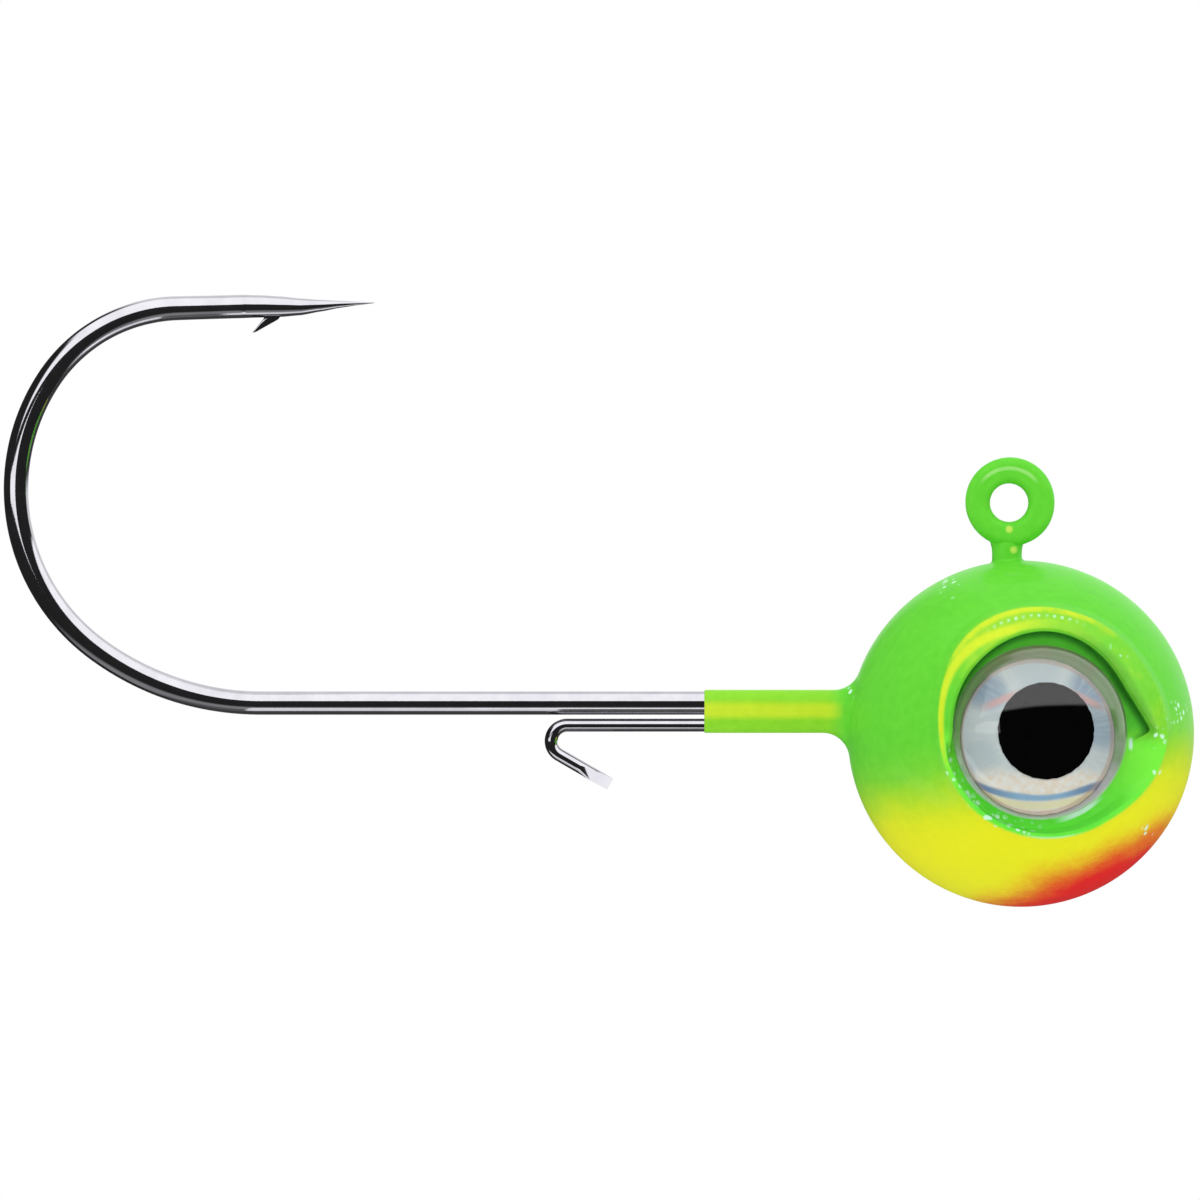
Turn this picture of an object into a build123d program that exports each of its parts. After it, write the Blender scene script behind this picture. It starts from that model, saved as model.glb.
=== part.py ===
"""Ball jig head for soft-plastic fishing lures.

Frame: +X along the hook shank towards the nose, +Z up, +Y to the lure's left.
The origin is the centre of the hole in the line-tie ring. Millimetres.
"""

import os
from math import asin, cos, degrees, radians, sin

from build123d import *

# ---------------------------------------------------------------- driving sizes
# hook wire, and the flattened ring that the line is tied to
WIRE_DIA = 0.84
RING_HOLE_R = 0.79
RING_BAND = 0.68
RING_SWELL = 0.06
STEM_X = -0.075
STEM_BEND_R = 1.3

# hook plan in the mid-plane: shank, three bend arcs, straight point run
SHANK_LENGTH = 26.57
BEND_RADII = (9.77, 7.07, 5.61)
BEND_ANGLES = (36.7, 86.6, 55.15)
POINT_RUN = 7.02
TAPER_LENGTH = 4.4
TAPER_WAIST = 0.45
TIP_R = 0.02

# barb, sliced up from the inner side of the point run: places are back from the tip
BARB_TIP_BACK = 4.38
BARB_ROOT_BACK = 3.89
BARB_FRONT_BACK = 3.20
BARB_RISE = 0.51
BARB_HOLLOW = 0.18
BARB_WIDTH = 0.36

# lead ball, hung below the ring
BALL_R = 6.04
BALL_X = 0.42
STEM_GAP = 2.16
SHANK_ABOVE_CENTRE = 1.09

# eye sockets and their raised lids, one on each side
EYE_FORWARD = 0.55
EYE_ABOVE_CENTRE = 0.07
EYE_YAW = 7.0
SOCKET_DEPTH = 1.59
SOCKET_GAP = 0.28
CORNER_REACH = 0.67
CORNER_R = 0.06
LID_RISE = 0.20
LID_BAND_X = 0.93
LID_BAND_Z = 0.78
LID_SHIFT = (0.40, 0.25)
LID_DEPTH = 2.2
LID_EDGE_R = 0.15

# eye: glue, printed foil, pupil ink, clear dome
DOME_R = 3.09
DOME_RIM = 0.45
DOME_CAP_R = 5.5
DOME_SHOULDER_R = 1.36
FOIL_MARGIN = 0.78
FOIL_SHIFT = (0.09, -0.07)
PUPIL_R = 1.51
PUPIL_SHIFT = (0.16, 0.05)
GLUE_T = 0.10
GLUE_MARGIN = 0.14
FOIL_T = 0.06
INK_T = 0.03

# bait keeper wire under the shank
KEEPER_DIA = 0.47
KEEPER_GAP = 0.13
KEEPER_REACH = 4.87
KEEPER_TURN_R = 0.565
KEEPER_TURN_ANGLE = 150.0
KEEPER_LEG = 2.09
KEEPER_EMBED = 2.42
ANCHOR_R = 0.8
ANCHOR_ANGLE = 75.0
ANCHOR_LEG = 0.9
CHISEL_LENGTH = 1.10
CHISEL_LEAVES = 0.25
CHISEL_TILT = 20.0

# paint
FILM = 0.11
RING_COAT_CORNER_R = 0.33
COLLAR_FILM = 0.045
COLLAR_LENGTH = 5.20
FLARE_R = 0.95
STEM_FLARE_R = 0.12

# ------------------------------------------------------------ derived positions
WIRE_R = WIRE_DIA / 2
KEEPER_R = KEEPER_DIA / 2
RING_THICK = WIRE_DIA + RING_SWELL
RING_MID_R = RING_HOLE_R + RING_BAND / 2
BALL_Z = -STEM_GAP - BALL_R
BALL_CENTRE = Vector(BALL_X, 0, BALL_Z)
BALL_REAR = BALL_X - BALL_R
SHANK_Z = BALL_Z + SHANK_ABOVE_CENTRE
COLLAR_END = BALL_REAR - COLLAR_LENGTH
KEEPER_Z = SHANK_Z - WIRE_R - KEEPER_GAP - KEEPER_R
KEEPER_TURN_X = COLLAR_END - KEEPER_REACH
ANCHOR_X = BALL_REAR + KEEPER_EMBED
SOCKET_R = DOME_R + SOCKET_GAP
OUTWARD = 2 * BALL_R

# local x runs forward, local y runs up, local z points out of the right side
EYE_PLANE = Plane(
    origin=(BALL_X + EYE_FORWARD, SOCKET_DEPTH - BALL_R, BALL_Z + EYE_ABOVE_CENTRE),
    x_dir=(cos(radians(EYE_YAW)), sin(radians(EYE_YAW)), 0),
    z_dir=(sin(radians(EYE_YAW)), -cos(radians(EYE_YAW)), 0),
)

os.makedirs("parts", exist_ok=True)


def save(part, label):
    """Label one finished sub-part and write its STEP file."""
    part.label = label
    export_step(part, f"parts/{label}.step")


# ------------------------------------------------------------------------- hook
with BuildPart() as hook:
    with BuildLine(Plane.XZ) as hook_path:
        stem = Line((STEM_X, -RING_MID_R), (STEM_X, SHANK_Z + STEM_BEND_R))
        elbow = JernArc(stem @ 1, stem % 1, STEM_BEND_R, -90)
        shank = Line(elbow @ 1, (-SHANK_LENGTH, SHANK_Z))
        last = shank
        for bend_radius, bend_angle in zip(BEND_RADII, BEND_ANGLES):
            last = JernArc(last @ 1, last % 1, bend_radius, -bend_angle)
        run = PolarLine(last @ 1, POINT_RUN - TAPER_LENGTH, direction=last % 1)
    with BuildSketch(Plane(origin=hook_path.line @ 0, z_dir=hook_path.line % 0)):
        Circle(WIRE_R)
    sweep(path=hook_path.line)

    # the wire's closed ring, flattened on both faces
    with BuildSketch(Plane.XY):
        with Locations((RING_MID_R, 0)):
            Ellipse(RING_BAND / 2, RING_THICK / 2)
    revolve(axis=Axis.Y)

    # needle point: local x runs back from the tip, local y is the wire's radius
    point_dir = hook_path.line % 1
    point_tip = hook_path.line @ 1 + point_dir * TAPER_LENGTH
    point_plane = Plane(origin=point_tip, x_dir=-point_dir, z_dir=(0, -1, 0))
    with BuildSketch(point_plane):
        with BuildLine():
            flank = Spline(
                (0, TIP_R),
                (TAPER_WAIST * TAPER_LENGTH, WIRE_R / 2),
                (TAPER_LENGTH, WIRE_R),
                tangents=[(TAPER_LENGTH, WIRE_R), (1, 0)],
            )
            Polyline(flank @ 1, (TAPER_LENGTH, 0), (0, 0), flank @ 0)
        make_face()
    revolve(axis=Axis(point_tip, point_dir))

    # local y of the same plane runs into the gape, which is where the barb stands
    with BuildSketch(point_plane):
        with BuildLine():
            Polyline(
                (BARB_ROOT_BACK, 0),
                (BARB_ROOT_BACK, WIRE_R),
                (BARB_TIP_BACK, WIRE_R + BARB_RISE),
                (2 * BARB_ROOT_BACK - BARB_TIP_BACK, WIRE_R + BARB_HOLLOW),
                (BARB_FRONT_BACK, 0),
                close=True,
            )
        make_face()
    extrude(amount=BARB_WIDTH / 2, both=True)
save(hook.part, "hook")

# ------------------------------------------------------------------ keeper wire
with BuildPart() as keeper_wire:
    with BuildLine(Plane.XZ) as keeper_path:
        run_in = Line((ANCHOR_X, KEEPER_Z), (KEEPER_TURN_X, KEEPER_Z))
        turn = JernArc(run_in @ 1, run_in % 1, KEEPER_TURN_R, KEEPER_TURN_ANGLE)
        leg = PolarLine(turn @ 1, KEEPER_LEG, direction=turn % 1)
        anchor = JernArc(run_in @ 0, (1, 0), ANCHOR_R, -ANCHOR_ANGLE)
        PolarLine(anchor @ 1, ANCHOR_LEG, direction=anchor % 1)
    keeper_run = Wire(keeper_path.edges())
    with BuildSketch(Plane(origin=keeper_run @ 0, z_dir=keeper_run % 0)):
        Circle(KEEPER_R)
    sweep(path=keeper_run)

    # flat chisel face on the right side of the leg's end
    across = (leg % 1).cross(Vector(0, 1, 0)).rotate(Axis(leg @ 1, leg % 1), CHISEL_TILT)
    cut_side = (leg % 1).cross(across)
    cut_slope = KEEPER_DIA - CHISEL_LEAVES
    chisel_face = Plane(
        origin=(leg @ 1) + cut_side * (CHISEL_LEAVES - KEEPER_R) * -1,
        x_dir=across,
        z_dir=cut_side * CHISEL_LENGTH + (leg % 1) * cut_slope,
    )
    with Locations(chisel_face):
        Box(
            KEEPER_DIA * 2,
            CHISEL_LENGTH * 3,
            KEEPER_DIA,
            align=(Align.CENTER, Align.CENTER, Align.MIN),
            mode=Mode.SUBTRACT,
        )
save(keeper_wire.part, "keeper_wire")


# ----------------------------------------------------------------- head and coat
def head_form(grow):
    """The head's solid form, moved out from the bare casting by grow."""
    floor = EYE_PLANE.offset(grow - FILM)
    lid_r = BALL_R + LID_RISE + grow
    with BuildPart() as lids:
        with BuildSketch(floor.offset(-LID_DEPTH)):
            with Locations(LID_SHIFT):
                Ellipse(SOCKET_R + LID_BAND_X + grow, SOCKET_R + LID_BAND_Z + grow)
        extrude(amount=OUTWARD)
        with Locations(BALL_CENTRE):
            Sphere(lid_r, mode=Mode.INTERSECT)
        crest = lids.edges().filter_by(
            lambda edge: abs((edge @ 0 - BALL_CENTRE).length - lid_r) < LID_RISE / 2
            and edge.is_closed
        )
        fillet(crest, LID_EDGE_R)
        mirror(about=Plane.XZ)
    with BuildPart() as sockets:
        with BuildSketch(floor):
            with BuildSketch(mode=Mode.PRIVATE) as teardrop:
                Circle(SOCKET_R)
                with Locations((SOCKET_R + CORNER_REACH, 0)):
                    Circle(CORNER_R)
                make_hull()
            add(teardrop.sketch)
            if grow < FILM:
                offset(amount=FILM - grow)
        extrude(amount=OUTWARD)
        mirror(about=Plane.XZ)
    with BuildPart() as form:
        with Locations(BALL_CENTRE):
            Sphere(BALL_R + grow)
        add(lids)
        add(sockets, mode=Mode.SUBTRACT)
    return form.part


bare_head = head_form(0)

with BuildPart() as head_casting:
    add(bare_head)
    add(hook.part, mode=Mode.SUBTRACT)
    add(keeper_wire.part, mode=Mode.SUBTRACT)
save(head_casting.part, "head_casting")

with BuildPart() as paint_coat:
    add(head_form(FILM))

    # sleeve over the shank and the keeper, behind the ball
    with BuildSketch(Plane.YZ.offset(COLLAR_END)):
        with Locations((0, SHANK_Z)):
            Circle(WIRE_R + COLLAR_FILM)
        with Locations((0, KEEPER_Z)):
            Circle(KEEPER_R + COLLAR_FILM)
        make_hull()
    extrude(amount=BALL_X - BALL_R / 2 - COLLAR_END)
    collar_root = (
        paint_coat.edges()
        .filter_by(lambda edge: COLLAR_END + FLARE_R < edge.center().X < BALL_X - 0.8 * BALL_R)
        .filter_by(GeomType.LINE, reverse=True)
    )
    fillet(collar_root, FLARE_R)

    # sleeve over the stem
    with BuildSketch(Plane.XY.offset(-RING_MID_R)):
        with Locations((STEM_X, 0)):
            Circle(WIRE_R + FILM)
    extrude(amount=BALL_Z + BALL_R / 2 + RING_MID_R)
    stem_root = (
        paint_coat.edges()
        .filter_by(lambda edge: abs(edge.center().Z - BALL_Z - BALL_R) < WIRE_R)
        .filter_by(GeomType.LINE, reverse=True)
    )
    fillet(stem_root, STEM_FLARE_R)

    # coat over the ring
    with BuildSketch(Plane.XY):
        with Locations((RING_MID_R, 0)):
            RectangleRounded(RING_BAND + 2 * FILM, RING_THICK + 2 * FILM, RING_COAT_CORNER_R)
    revolve(axis=Axis.Y)

    add(bare_head, mode=Mode.SUBTRACT)
    add(hook.part, mode=Mode.SUBTRACT)
    add(keeper_wire.part, mode=Mode.SUBTRACT)
save(paint_coat.part, "paint_coat")

# ------------------------------------------------------------------------- eyes
with BuildPart(EYE_PLANE) as right_eye_adhesive:
    Cylinder(DOME_R - GLUE_MARGIN, GLUE_T, align=(Align.CENTER, Align.CENTER, Align.MIN))

with BuildPart(EYE_PLANE.offset(GLUE_T)) as right_eye_foil:
    with Locations(FOIL_SHIFT):
        Cylinder(DOME_R - FOIL_MARGIN, FOIL_T, align=(Align.CENTER, Align.CENTER, Align.MIN))

with BuildPart(EYE_PLANE.offset(GLUE_T + FOIL_T)) as right_eye_pupil:
    with Locations(PUPIL_SHIFT):
        Cylinder(PUPIL_R, INK_T, align=(Align.CENTER, Align.CENTER, Align.MIN))

# the dome's flat crown runs tangent into a tighter shoulder, and that into the straight rim
with BuildPart() as right_eye_dome:
    crown_angle = degrees(asin((DOME_R - DOME_SHOULDER_R) / (DOME_CAP_R - DOME_SHOULDER_R)))
    eye_up = Plane(origin=EYE_PLANE.origin, x_dir=EYE_PLANE.x_dir, z_dir=-EYE_PLANE.y_dir)
    with BuildSketch(eye_up):
        with BuildLine():
            base = Line((0, GLUE_T), (DOME_R, GLUE_T))
            rim = Line(base @ 1, (DOME_R, GLUE_T + DOME_RIM))
            shoulder = JernArc(rim @ 1, rim % 1, DOME_SHOULDER_R, 90 - crown_angle)
            crown = JernArc(shoulder @ 1, shoulder % 1, DOME_CAP_R, crown_angle)
            Line(crown @ 1, base @ 0)
        make_face()
    revolve(axis=Axis(EYE_PLANE.origin, EYE_PLANE.z_dir))
    add(right_eye_foil.part, mode=Mode.SUBTRACT)
    add(right_eye_pupil.part, mode=Mode.SUBTRACT)

for name, right in (
    ("eye_adhesive", right_eye_adhesive),
    ("eye_foil", right_eye_foil),
    ("eye_pupil", right_eye_pupil),
    ("eye_dome", right_eye_dome),
):
    save(right.part, f"right_{name}")
    with BuildPart() as left:
        add(right.part)
        mirror(about=Plane.XZ, mode=Mode.REPLACE)
    save(left.part, f"left_{name}")
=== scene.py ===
"""Looks of a ball jig head for soft-plastic fishing lures.

Metres, in the CAD frame: +X along the shank to the nose, +Z up, +Y to the lure's left.
The origin is the centre of the hole in the line-tie ring.
"""

from math import acos, asin, atan2, cos, degrees, hypot, pi, radians, sin, sqrt

import bmesh
import bpy
from mathutils import Matrix, Vector


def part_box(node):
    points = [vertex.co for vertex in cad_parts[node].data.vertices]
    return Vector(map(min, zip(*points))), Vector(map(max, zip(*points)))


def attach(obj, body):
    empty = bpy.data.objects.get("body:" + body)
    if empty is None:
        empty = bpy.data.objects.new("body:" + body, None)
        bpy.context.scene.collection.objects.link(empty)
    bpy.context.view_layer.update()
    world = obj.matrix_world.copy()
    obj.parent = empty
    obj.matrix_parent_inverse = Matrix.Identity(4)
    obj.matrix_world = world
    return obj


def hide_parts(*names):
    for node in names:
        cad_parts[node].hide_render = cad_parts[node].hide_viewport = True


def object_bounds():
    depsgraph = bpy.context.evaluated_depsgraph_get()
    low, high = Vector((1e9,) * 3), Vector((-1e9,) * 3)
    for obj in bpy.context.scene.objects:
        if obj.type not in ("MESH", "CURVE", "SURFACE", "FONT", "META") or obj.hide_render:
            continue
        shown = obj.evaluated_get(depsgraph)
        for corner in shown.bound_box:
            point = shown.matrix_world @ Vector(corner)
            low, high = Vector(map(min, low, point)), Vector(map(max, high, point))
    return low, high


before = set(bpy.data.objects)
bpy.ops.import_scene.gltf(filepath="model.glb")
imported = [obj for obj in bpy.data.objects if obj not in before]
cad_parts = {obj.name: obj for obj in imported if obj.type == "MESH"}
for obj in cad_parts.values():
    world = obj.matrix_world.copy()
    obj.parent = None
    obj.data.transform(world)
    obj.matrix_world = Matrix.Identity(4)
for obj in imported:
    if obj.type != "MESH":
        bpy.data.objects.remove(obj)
cad_low, cad_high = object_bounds()

MM = 0.001
LENS = 800

# ------------------------------------------------------------------ places from the CAD
hook_low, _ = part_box("hook")
cast_low, cast_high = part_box("head_casting")
coat_low, coat_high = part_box("paint_coat")
glue_low, glue_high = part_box("right_eye_adhesive")

CENTRE = (cad_low + cad_high) / 2

WIRE_R = 0.42 * MM
ELBOW_R = 1.3 * MM
SHANK_LENGTH = 26.57 * MM
POINT_LENGTH = 4.62 * MM
BARB_THICK = 0.34 * MM
KEEPER_R = 0.235 * MM
RING_HOLE_R = 0.68 * MM
RING_OUTER_R = 1.58 * MM
RING_MID_R = 1.13 * MM
RING_HALF_THICK = 0.56 * MM
RING_CORNER_R = 0.28 * MM
STEM_X = -0.075 * MM
SHANK_Z = hook_low.z + WIRE_R
KEEPER_Z = SHANK_Z - 0.785 * MM
COLLAR_END = coat_low.x

# the ball, in lead and in paint
CAST_R = (cast_high.x - cast_low.x) / 2
BALL = Vector(((cast_low.x + cast_high.x) / 2, 0, cast_low.z + CAST_R))
FILM = coat_high.x - cast_high.x
BALL_R = CAST_R + FILM

# the right eye's own axes: forward, up and out of the head
EYE_YAW = radians(7)
EYE_ALONG = Vector((cos(EYE_YAW), sin(EYE_YAW), 0))
EYE_UP = Vector((0, 0, 1))
EYE_OUT = Vector((sin(EYE_YAW), -cos(EYE_YAW), 0))
GLUE_T = 0.10 * MM
EYE = (glue_low + glue_high) / 2 - EYE_OUT * (GLUE_T / 2)

SOCKET_R = 3.37 * MM
CORNER_REACH = 4.04 * MM
CORNER_ANGLE = acos(SOCKET_R / CORNER_REACH)
DOME_R = 3.09 * MM


# ----------------------------------------------------------------------- mesh helpers
def grow_ring(bm, ring):
    """Extrude a ring of edges on the spot, and give the new ring's edges and points."""
    made = bmesh.ops.extrude_edge_only(bm, edges=ring)["geom"]
    verts = [item for item in made if isinstance(item, bmesh.types.BMVert)]
    edges = [item for item in made if isinstance(item, bmesh.types.BMEdge)]
    fresh = set(verts)
    return [edge for edge in edges if all(vert in fresh for vert in edge.verts)], verts


def first_ring(bm, sides, place):
    """A capped unit circle in a place, and its edges."""
    made = bmesh.ops.create_circle(bm, cap_ends=True, radius=1, segments=sides, matrix=place)
    verts = set(made["verts"])
    return [edge for edge in bm.edges if edge.verts[0] in verts], made["verts"]


def sweep(bm, places, sides):
    """A closed bar whose round section goes through each place in turn."""
    ring, verts = first_ring(bm, sides, places[0])
    for before, after in zip(places, places[1:]):
        ring, verts = grow_ring(bm, ring)
        bmesh.ops.transform(bm, matrix=after @ before.inverted(), verts=verts)
    bmesh.ops.contextual_create(bm, geom=ring)


def run(spots, length, parts):
    """Carry a path straight on. A spot is x, z and heading."""
    x, z, heading = spots[-1]
    for part in range(1, parts + 1):
        reach = length * part / parts
        spots.append((x + reach * cos(heading), z + reach * sin(heading), heading))


def turn(spots, radius, angle, parts):
    """Carry a path round an arc, to the left for a positive angle."""
    x, z, heading = spots[-1]
    side = 1 if angle > 0 else -1
    centre_x = x - side * radius * sin(heading)
    centre_z = z + side * radius * cos(heading)
    for part in range(1, parts + 1):
        now = heading + angle * part / parts
        spots.append(
            (centre_x + side * radius * sin(now), centre_z - side * radius * cos(now), now)
        )


def section_place(spot, in_plane, out_of_plane, drop=0.0):
    """Where a unit circle goes to be the wire's section at a spot of its path."""
    x, z, heading = spot
    along = Vector((cos(heading), 0, sin(heading)))
    across = Vector((-sin(heading), 0, cos(heading)))
    place = Matrix.Identity(4)
    place.col[0][:3] = across * in_plane
    place.col[1][:3] = Vector((0, -out_of_plane, 0))
    place.col[2][:3] = along * MM
    place.col[3][:3] = Vector((x, 0, z)) + across * drop
    return place


def smooth(value, low, high):
    """0 below low and 1 above high, with an eased rise between."""
    share = min(1.0, max(0.0, (value - low) / (high - low)))
    return share * share * (3 - 2 * share)


def piece(name, bm, material, node, crisp=40):
    """Turn a finished bmesh into a piece that rides on the body and stands for its CAD node."""
    bmesh.ops.recalc_face_normals(bm, faces=bm.faces)
    mesh = bpy.data.meshes.new(name)
    bm.to_mesh(mesh)
    bm.free()
    mesh.polygons.foreach_set("use_smooth", [True] * len(mesh.polygons))
    mesh.set_sharp_from_angle(angle=radians(crisp))
    mesh.materials.append(material)
    made = bpy.data.objects.new(name, mesh)
    bpy.context.scene.collection.objects.link(made)
    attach(made, "root")
    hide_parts(node)


# ------------------------------------------------------------------- material helpers
def paint(red, green, blue):
    """A colour on a 0 to 255 scale, as the shader's linear one."""
    linear = []
    for level in (red / 255, green / 255, blue / 255):
        linear.append(level / 12.92 if level <= 0.04045 else ((level + 0.055) / 1.055) ** 2.4)
    return (*linear, 1.0)


class Graph:
    """A node tree with short ways to add and join its nodes."""

    def __init__(self, tree):
        self.tree = tree

    def put(self, socket, value):
        if isinstance(value, bpy.types.NodeSocket):
            self.tree.links.new(value, socket)
        elif value is not None:
            socket.default_value = value

    def add(self, kind, settings=(), **inputs):
        node = self.tree.nodes.new(kind)
        for name, value in dict(settings).items():
            setattr(node, name, value)
        for name, value in inputs.items():
            self.put(node.inputs[name.replace("_", " ")], value)
        return node

    def maths(self, operation, first, second=None, third=None):
        node = self.add("ShaderNodeMath", {"operation": operation})
        for socket, value in zip(node.inputs, (first, second, third)):
            self.put(socket, value)
        return node.outputs[0]

    def plus(self, first, second):
        return self.maths("ADD", first, second)

    def minus(self, first, second):
        return self.maths("SUBTRACT", first, second)

    def times(self, first, second):
        return self.maths("MULTIPLY", first, second)

    def weighted(self, first, first_share, second, second_share, offset=0.0):
        """first and second, each times its share, added up with an offset."""
        scaled = self.maths("MULTIPLY_ADD", first, first_share, offset)
        return self.maths("MULTIPLY_ADD", second, second_share, scaled)

    def ease(self, value, low, high, start=0.0, end=1.0):
        """start below low, end above high, and eased between."""
        node = self.add("ShaderNodeMapRange", {"interpolation_type": "SMOOTHSTEP"})
        for socket, level in zip(node.inputs, (value, low, high, start, end)):
            self.put(socket, level)
        return node.outputs[0]

    def line(self, value, centre, half_width):
        """1 on the centre, falling to 0 at half_width each side."""
        away = self.maths("ABSOLUTE", self.minus(value, centre))
        return self.ease(away, 0.25 * half_width, half_width, 1.0, 0.0)

    def spot(self, across, up, x, z, size):
        """1 at a place on a plane, falling to 0 at size away from it."""
        off_x, off_z = self.minus(across, x), self.minus(up, z)
        away = self.maths("SQRT", self.plus(self.times(off_x, off_x), self.times(off_z, off_z)))
        return self.ease(away, size, 0.4 * size)

    def mix(self, share, first, second, blend="MIX"):
        node = self.add("ShaderNodeMix", {"data_type": "RGBA", "blend_type": blend})
        self.put(node.inputs[0], share)
        self.put(node.inputs[6], first)
        self.put(node.inputs[7], second)
        return node.outputs[2]

    def ramp(self, value, *stops):
        """Colours along a value: each stop is a place from 0 to 1 and a colour."""
        node = self.add("ShaderNodeValToRGB", Fac=value)
        elements = node.color_ramp.elements
        while len(elements) < len(stops):
            elements.new(0.5)
        for element, (place, colour) in zip(elements, stops):
            element.position = place
            element.color = colour
        return node.outputs[0]

    def noise(self, where, scale, detail=2.0, rough=0.5):
        node = self.add("ShaderNodeTexNoise", Vector=where, Scale=scale, Detail=detail)
        self.put(node.inputs["Roughness"], rough)
        return node.outputs["Fac"]

    def place(self, origin, size):
        """Object coordinates moved to an origin and measured in a size: x, y, z and the vector."""
        spot = self.add("ShaderNodeTexCoord").outputs["Object"]
        moved = self.add("ShaderNodeMapping", {"vector_type": "POINT"}, Vector=spot)
        moved.inputs["Location"].default_value = [-value / size for value in origin]
        moved.inputs["Scale"].default_value = (1 / size, 1 / size, 1 / size)
        split = self.add("ShaderNodeSeparateXYZ", Vector=moved.outputs[0])
        return split.outputs[0], split.outputs[1], split.outputs[2], moved.outputs[0]


def new_material(name):
    """A material with one shader, its node graph and that shader."""
    material = bpy.data.materials.new(name)
    material.use_nodes = True
    material.node_tree.nodes.clear()
    graph = Graph(material.node_tree)
    shader = graph.add("ShaderNodeBsdfPrincipled")
    result = graph.add("ShaderNodeOutputMaterial")
    graph.tree.links.new(shader.outputs[0], result.inputs[0])
    return material, graph, shader


def set_shader(shader, **values):
    """Set the shader's uniform values, named with underscores for spaces."""
    for name, value in values.items():
        shader.inputs[name.replace("_", " ")].default_value = value


# -------------------------------------------------------------------------- materials
def black_nickel():
    """Bright dark plating, with faint drawing marks and clouding."""
    material, graph, shader = new_material("black_nickel")
    _, _, _, spot = graph.place((0, 0, 0), MM)
    cloud = graph.noise(spot, 1.6, 4.0)
    fine = graph.noise(spot, 22.0, 2.0)
    tone = graph.ramp(
        graph.weighted(cloud, 0.8, fine, 0.2),
        (0.30, paint(160, 159, 165)),
        (0.70, paint(172, 171, 176)),
    )
    graph.put(shader.inputs["Base Color"], tone)
    graph.put(shader.inputs["Roughness"], graph.ease(cloud, 0.25, 0.8, 0.03, 0.075))
    bump = graph.add("ShaderNodeBump", Strength=0.05, Distance=0.00001, Height=fine)
    graph.put(shader.inputs["Normal"], bump.outputs[0])
    set_shader(shader, Metallic=1.0)
    return material


def lead_alloy():
    """Dull cast lead, under the paint."""
    material, graph, shader = new_material("lead_alloy")
    _, _, _, spot = graph.place((0, 0, 0), MM)
    cloud = graph.noise(spot, 0.9, 5.0)
    graph.put(
        shader.inputs["Base Color"],
        graph.ramp(cloud, (0.3, paint(120, 122, 128)), (0.7, paint(158, 160, 166))),
    )
    graph.put(shader.inputs["Roughness"], graph.ease(cloud, 0.2, 0.8, 0.35, 0.6))
    bump = graph.add("ShaderNodeBump", Strength=0.3, Distance=0.00003, Height=cloud)
    graph.put(shader.inputs["Normal"], bump.outputs[0])
    set_shader(shader, Metallic=1.0)
    return material


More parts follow.
